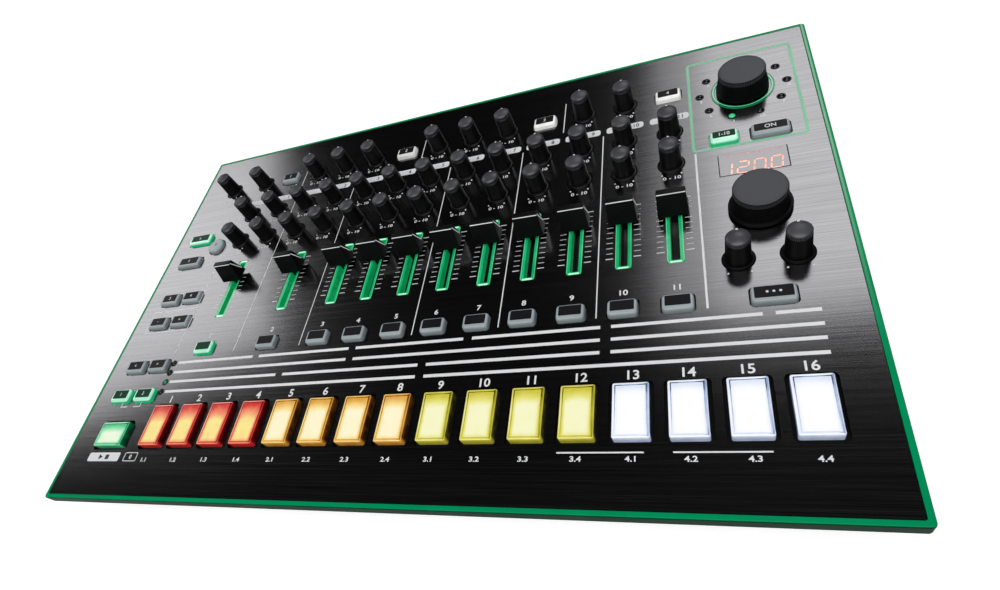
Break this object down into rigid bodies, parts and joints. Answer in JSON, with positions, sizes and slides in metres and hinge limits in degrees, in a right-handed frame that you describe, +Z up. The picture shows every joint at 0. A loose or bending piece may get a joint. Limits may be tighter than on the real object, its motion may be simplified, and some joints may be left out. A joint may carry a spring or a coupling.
{
  "type": "drum machine",
  "caption": "Tabletop drum machine with lit step pads, slide faders, rotary knobs, two large dials, a figure display and rear sockets.",
  "frame": {"origin": "on the table under the middle of the case, at the bottom centre of the bounding box", "axes": "+X to the player's right, +Y to the rear where the sockets are, +Z up"},
  "size_m": [0.4032, 0.2631, 0.0648],
  "materials": {
    "panel_black": "brushed",
    "trim_green": "gloss",
    "case_black": "matte",
    "rubber_black": "matte",
    "screw_black": "satin",
    "board": "satin",
    "control_metal": "satin",
    "guide_green": "lit",
    "lamp_clear": "gloss",
    "display_dark": "gloss",
    "socket_black": "satin",
    "knob_black": "satin",
    "pad_red": "lit",
    "pad_orange": "lit",
    "pad_yellow": "lit",
    "pad_white": "lit",
    "pad_green": "lit",
    "key_grey": "satin"
  },
  "bodies": {
    "chassis": {"top_panel": "panel_black", "edge_trim": "trim_green", "bottom_case": "case_black", "rubber_feet": "rubber_black", "case_screws": "screw_black", "main_board": "board", "potentiometers": "control_metal", "light_guides": "guide_green", "lamp_lenses": "lamp_clear", "display": "display_dark", "rear_sockets": "socket_black"},
    "effect_dial": {"effect_dial": "knob_black"},
    "tempo_dial": {"tempo_dial": "knob_black"},
    "faders": {"faders": "knob_black"},
    "start_pad": {"start_pad": "pad_green"},
    "red_pads": {"red_pads": "pad_red"},
    "orange_pads": {"orange_pads": "pad_orange"},
    "yellow_pads": {"yellow_pads": "pad_yellow"},
    "white_pads": {"white_pads": "pad_white"},
    "voice_keys": {"voice_keys": "key_grey"},
    "function_keys": {"function_keys": "key_grey"},
    "power_rocker": {"power_rocker": "socket_black"},
    "shuffle_knob": {"shuffle_knob": "knob_black"},
    "fine_tempo_knob": {"fine_tempo_knob": "knob_black"},
    "volume_knob": {"volume_knob": "knob_black"},
    "accent_knob": {"accent_knob": "knob_black"},
    "reverb_knob_1": {"reverb_knob_1": "knob_black"},
    "reverb_knob_2": {"reverb_knob_2": "knob_black"},
    "reverb_knob_3": {"reverb_knob_3": "knob_black"},
    "delay_knob_1": {"delay_knob_1": "knob_black"},
    "delay_knob_2": {"delay_knob_2": "knob_black"},
    "delay_knob_3": {"delay_knob_3": "knob_black"},
    "input_knob_1": {"input_knob_1": "knob_black"},
    "input_knob_2": {"input_knob_2": "knob_black"},
    "rear_tone_knob_01": {"rear_tone_knob_01": "knob_black"},
    "rear_tone_knob_02": {"rear_tone_knob_02": "knob_black"},
    "rear_tone_knob_03": {"rear_tone_knob_03": "knob_black"},
    "rear_tone_knob_04": {"rear_tone_knob_04": "knob_black"},
    "rear_tone_knob_05": {"rear_tone_knob_05": "knob_black"},
    "rear_tone_knob_06": {"rear_tone_knob_06": "knob_black"},
    "rear_tone_knob_07": {"rear_tone_knob_07": "knob_black"},
    "rear_tone_knob_08": {"rear_tone_knob_08": "knob_black"},
    "rear_tone_knob_09": {"rear_tone_knob_09": "knob_black"},
    "rear_tone_knob_10": {"rear_tone_knob_10": "knob_black"},
    "rear_tone_knob_11": {"rear_tone_knob_11": "knob_black"},
    "rear_tone_knob_12": {"rear_tone_knob_12": "knob_black"},
    "rear_tone_knob_13": {"rear_tone_knob_13": "knob_black"},
    "front_tone_knob_01": {"front_tone_knob_01": "knob_black"},
    "front_tone_knob_02": {"front_tone_knob_02": "knob_black"},
    "front_tone_knob_03": {"front_tone_knob_03": "knob_black"},
    "front_tone_knob_04": {"front_tone_knob_04": "knob_black"},
    "front_tone_knob_05": {"front_tone_knob_05": "knob_black"},
    "front_tone_knob_06": {"front_tone_knob_06": "knob_black"},
    "front_tone_knob_07": {"front_tone_knob_07": "knob_black"},
    "front_tone_knob_08": {"front_tone_knob_08": "knob_black"},
    "front_tone_knob_09": {"front_tone_knob_09": "knob_black"},
    "front_tone_knob_10": {"front_tone_knob_10": "knob_black"},
    "front_tone_knob_11": {"front_tone_knob_11": "knob_black"},
    "front_tone_knob_12": {"front_tone_knob_12": "knob_black"},
    "front_tone_knob_13": {"front_tone_knob_13": "knob_black"}
  },
  "joints": [
    {"name": "effect_dial_turn", "type": "hinge", "parent": "chassis", "child": "effect_dial", "pos_m": [0.1678, 0.08793, 0.04942], "axis": [0, -0.0785, 0.9969], "continuous": true},
    {"name": "tempo_dial_turn", "type": "hinge", "parent": "chassis", "child": "tempo_dial", "pos_m": [0.1678, 0.00548, 0.04293], "axis": [0, -0.0785, 0.9969], "continuous": true},
    {"name": "faders_slide", "type": "slide", "parent": "chassis", "child": "faders", "axis": [0, 0.9969, 0.0785], "range_m": [-0.0233, 0.0087]},
    {"name": "start_pad_press", "type": "slide", "parent": "chassis", "child": "start_pad", "axis": [0, -0.0785, 0.9969], "range_m": [-0.0015, 0], "stiffness_N_per_m": 400, "springref_m": 0.0004},
    {"name": "red_pads_press", "type": "slide", "parent": "chassis", "child": "red_pads", "axis": [0, -0.0785, 0.9969], "range_m": [-0.0015, 0], "stiffness_N_per_m": 900, "springref_m": 0.0005},
    {"name": "orange_pads_press", "type": "slide", "parent": "chassis", "child": "orange_pads", "axis": [0, -0.0785, 0.9969], "range_m": [-0.0015, 0], "stiffness_N_per_m": 900, "springref_m": 0.0005},
    {"name": "yellow_pads_press", "type": "slide", "parent": "chassis", "child": "yellow_pads", "axis": [0, -0.0785, 0.9969], "range_m": [-0.0015, 0], "stiffness_N_per_m": 900, "springref_m": 0.0005},
    {"name": "white_pads_press", "type": "slide", "parent": "chassis", "child": "white_pads", "axis": [0, -0.0785, 0.9969], "range_m": [-0.0015, 0], "stiffness_N_per_m": 900, "springref_m": 0.0005},
    {"name": "voice_keys_press", "type": "slide", "parent": "chassis", "child": "voice_keys", "axis": [0, -0.0785, 0.9969], "range_m": [-0.0009, 0], "stiffness_N_per_m": 900, "springref_m": 0.0005},
    {"name": "function_keys_press", "type": "slide", "parent": "chassis", "child": "function_keys", "axis": [0, -0.0785, 0.9969], "range_m": [-0.0009, 0], "stiffness_N_per_m": 1200, "springref_m": 0.0005},
    {"name": "power_rocker_tip", "type": "hinge", "parent": "chassis", "child": "power_rocker", "pos_m": [0.1576, 0.1247, 0.024], "axis": [1, 0, 0], "range_deg": [0, 16]},
    {"name": "shuffle_knob_turn", "type": "hinge", "parent": "chassis", "child": "shuffle_knob", "pos_m": [0.1567, -0.02223, 0.04075], "axis": [0, -0.0785, 0.9969], "range_deg": [-150, 150]},
    {"name": "fine_tempo_knob_turn", "type": "hinge", "parent": "chassis", "child": "fine_tempo_knob", "pos_m": [0.1789, -0.02223, 0.04075], "axis": [0, -0.0785, 0.9969], "range_deg": [-150, 150]},
    {"name": "volume_knob_turn", "type": "hinge", "parent": "chassis", "child": "volume_knob", "pos_m": [-0.1701, 0.09421, 0.04991], "axis": [0, -0.0785, 0.9969], "range_deg": [-150, 150]},
    {"name": "accent_knob_turn", "type": "hinge", "parent": "chassis", "child": "accent_knob", "pos_m": [-0.1412, 0.09421, 0.04991], "axis": [0, -0.0785, 0.9969], "range_deg": [-150, 150]},
    {"name": "reverb_knob_1_turn", "type": "hinge", "parent": "chassis", "child": "reverb_knob_1", "pos_m": [-0.0957, 0.09421, 0.04991], "axis": [0, -0.0785, 0.9969], "range_deg": [-150, 150]},
    {"name": "reverb_knob_2_turn", "type": "hinge", "parent": "chassis", "child": "reverb_knob_2", "pos_m": [-0.07295, 0.09421, 0.04991], "axis": [0, -0.0785, 0.9969], "range_deg": [-150, 150]},
    {"name": "reverb_knob_3_turn", "type": "hinge", "parent": "chassis", "child": "reverb_knob_3", "pos_m": [-0.0502, 0.09421, 0.04991], "axis": [0, -0.0785, 0.9969], "range_deg": [-150, 150]},
    {"name": "delay_knob_1_turn", "type": "hinge", "parent": "chassis", "child": "delay_knob_1", "pos_m": [-0.0047, 0.09421, 0.04991], "axis": [0, -0.0785, 0.9969], "range_deg": [-150, 150]},
    {"name": "delay_knob_2_turn", "type": "hinge", "parent": "chassis", "child": "delay_knob_2", "pos_m": [0.01805, 0.09421, 0.04991], "axis": [0, -0.0785, 0.9969], "range_deg": [-150, 150]},
    {"name": "delay_knob_3_turn", "type": "hinge", "parent": "chassis", "child": "delay_knob_3", "pos_m": [0.0408, 0.09421, 0.04991], "axis": [0, -0.0785, 0.9969], "range_deg": [-150, 150]},
    {"name": "input_knob_1_turn", "type": "hinge", "parent": "chassis", "child": "input_knob_1", "pos_m": [0.0863, 0.09421, 0.04991], "axis": [0, -0.0785, 0.9969], "range_deg": [-150, 150]},
    {"name": "input_knob_2_turn", "type": "hinge", "parent": "chassis", "child": "input_knob_2", "pos_m": [0.10905, 0.09421, 0.04991], "axis": [0, -0.0785, 0.9969], "range_deg": [-150, 150]},
    {"name": "rear_tone_knob_01_turn", "type": "hinge", "parent": "chassis", "child": "rear_tone_knob_01", "pos_m": [-0.1412, 0.0652, 0.04763], "axis": [0, -0.0785, 0.9969], "range_deg": [-150, 150]},
    {"name": "rear_tone_knob_02_turn", "type": "hinge", "parent": "chassis", "child": "rear_tone_knob_02", "pos_m": [-0.11845, 0.0652, 0.04763], "axis": [0, -0.0785, 0.9969], "range_deg": [-150, 150]},
    {"name": "rear_tone_knob_03_turn", "type": "hinge", "parent": "chassis", "child": "rear_tone_knob_03", "pos_m": [-0.0957, 0.0652, 0.04763], "axis": [0, -0.0785, 0.9969], "range_deg": [-150, 150]},
    {"name": "rear_tone_knob_04_turn", "type": "hinge", "parent": "chassis", "child": "rear_tone_knob_04", "pos_m": [-0.07295, 0.0652, 0.04763], "axis": [0, -0.0785, 0.9969], "range_deg": [-150, 150]},
    {"name": "rear_tone_knob_05_turn", "type": "hinge", "parent": "chassis", "child": "rear_tone_knob_05", "pos_m": [-0.0502, 0.0652, 0.04763], "axis": [0, -0.0785, 0.9969], "range_deg": [-150, 150]},
    {"name": "rear_tone_knob_06_turn", "type": "hinge", "parent": "chassis", "child": "rear_tone_knob_06", "pos_m": [-0.02745, 0.0652, 0.04763], "axis": [0, -0.0785, 0.9969], "range_deg": [-150, 150]},
    {"name": "rear_tone_knob_07_turn", "type": "hinge", "parent": "chassis", "child": "rear_tone_knob_07", "pos_m": [-0.0047, 0.0652, 0.04763], "axis": [0, -0.0785, 0.9969], "range_deg": [-150, 150]},
    {"name": "rear_tone_knob_08_turn", "type": "hinge", "parent": "chassis", "child": "rear_tone_knob_08", "pos_m": [0.01805, 0.0652, 0.04763], "axis": [0, -0.0785, 0.9969], "range_deg": [-150, 150]},
    {"name": "rear_tone_knob_09_turn", "type": "hinge", "parent": "chassis", "child": "rear_tone_knob_09", "pos_m": [0.0408, 0.0652, 0.04763], "axis": [0, -0.0785, 0.9969], "range_deg": [-150, 150]},
    {"name": "rear_tone_knob_10_turn", "type": "hinge", "parent": "chassis", "child": "rear_tone_knob_10", "pos_m": [0.06355, 0.0652, 0.04763], "axis": [0, -0.0785, 0.9969], "range_deg": [-150, 150]},
    {"name": "rear_tone_knob_11_turn", "type": "hinge", "parent": "chassis", "child": "rear_tone_knob_11", "pos_m": [0.0863, 0.0652, 0.04763], "axis": [0, -0.0785, 0.9969], "range_deg": [-150, 150]},
    {"name": "rear_tone_knob_12_turn", "type": "hinge", "parent": "chassis", "child": "rear_tone_knob_12", "pos_m": [0.10905, 0.0652, 0.04763], "axis": [0, -0.0785, 0.9969], "range_deg": [-150, 150]},
    {"name": "rear_tone_knob_13_turn", "type": "hinge", "parent": "chassis", "child": "rear_tone_knob_13", "pos_m": [0.1318, 0.0652, 0.04763], "axis": [0, -0.0785, 0.9969], "range_deg": [-150, 150]},
    {"name": "front_tone_knob_01_turn", "type": "hinge", "parent": "chassis", "child": "front_tone_knob_01", "pos_m": [-0.1412, 0.04187, 0.0458], "axis": [0, -0.0785, 0.9969], "range_deg": [-150, 150]},
    {"name": "front_tone_knob_02_turn", "type": "hinge", "parent": "chassis", "child": "front_tone_knob_02", "pos_m": [-0.11845, 0.04187, 0.0458], "axis": [0, -0.0785, 0.9969], "range_deg": [-150, 150]},
    {"name": "front_tone_knob_03_turn", "type": "hinge", "parent": "chassis", "child": "front_tone_knob_03", "pos_m": [-0.0957, 0.04187, 0.0458], "axis": [0, -0.0785, 0.9969], "range_deg": [-150, 150]},
    {"name": "front_tone_knob_04_turn", "type": "hinge", "parent": "chassis", "child": "front_tone_knob_04", "pos_m": [-0.07295, 0.04187, 0.0458], "axis": [0, -0.0785, 0.9969], "range_deg": [-150, 150]},
    {"name": "front_tone_knob_05_turn", "type": "hinge", "parent": "chassis", "child": "front_tone_knob_05", "pos_m": [-0.0502, 0.04187, 0.0458], "axis": [0, -0.0785, 0.9969], "range_deg": [-150, 150]},
    {"name": "front_tone_knob_06_turn", "type": "hinge", "parent": "chassis", "child": "front_tone_knob_06", "pos_m": [-0.02745, 0.04187, 0.0458], "axis": [0, -0.0785, 0.9969], "range_deg": [-150, 150]},
    {"name": "front_tone_knob_07_turn", "type": "hinge", "parent": "chassis", "child": "front_tone_knob_07", "pos_m": [-0.0047, 0.04187, 0.0458], "axis": [0, -0.0785, 0.9969], "range_deg": [-150, 150]},
    {"name": "front_tone_knob_08_turn", "type": "hinge", "parent": "chassis", "child": "front_tone_knob_08", "pos_m": [0.01805, 0.04187, 0.0458], "axis": [0, -0.0785, 0.9969], "range_deg": [-150, 150]},
    {"name": "front_tone_knob_09_turn", "type": "hinge", "parent": "chassis", "child": "front_tone_knob_09", "pos_m": [0.0408, 0.04187, 0.0458], "axis": [0, -0.0785, 0.9969], "range_deg": [-150, 150]},
    {"name": "front_tone_knob_10_turn", "type": "hinge", "parent": "chassis", "child": "front_tone_knob_10", "pos_m": [0.06355, 0.04187, 0.0458], "axis": [0, -0.0785, 0.9969], "range_deg": [-150, 150]},
    {"name": "front_tone_knob_11_turn", "type": "hinge", "parent": "chassis", "child": "front_tone_knob_11", "pos_m": [0.0863, 0.04187, 0.0458], "axis": [0, -0.0785, 0.9969], "range_deg": [-150, 150]},
    {"name": "front_tone_knob_12_turn", "type": "hinge", "parent": "chassis", "child": "front_tone_knob_12", "pos_m": [0.10905, 0.04187, 0.0458], "axis": [0, -0.0785, 0.9969], "range_deg": [-150, 150]},
    {"name": "front_tone_knob_13_turn", "type": "hinge", "parent": "chassis", "child": "front_tone_knob_13", "pos_m": [0.1318, 0.04187, 0.0458], "axis": [0, -0.0785, 0.9969], "range_deg": [-150, 150]}
  ]
}
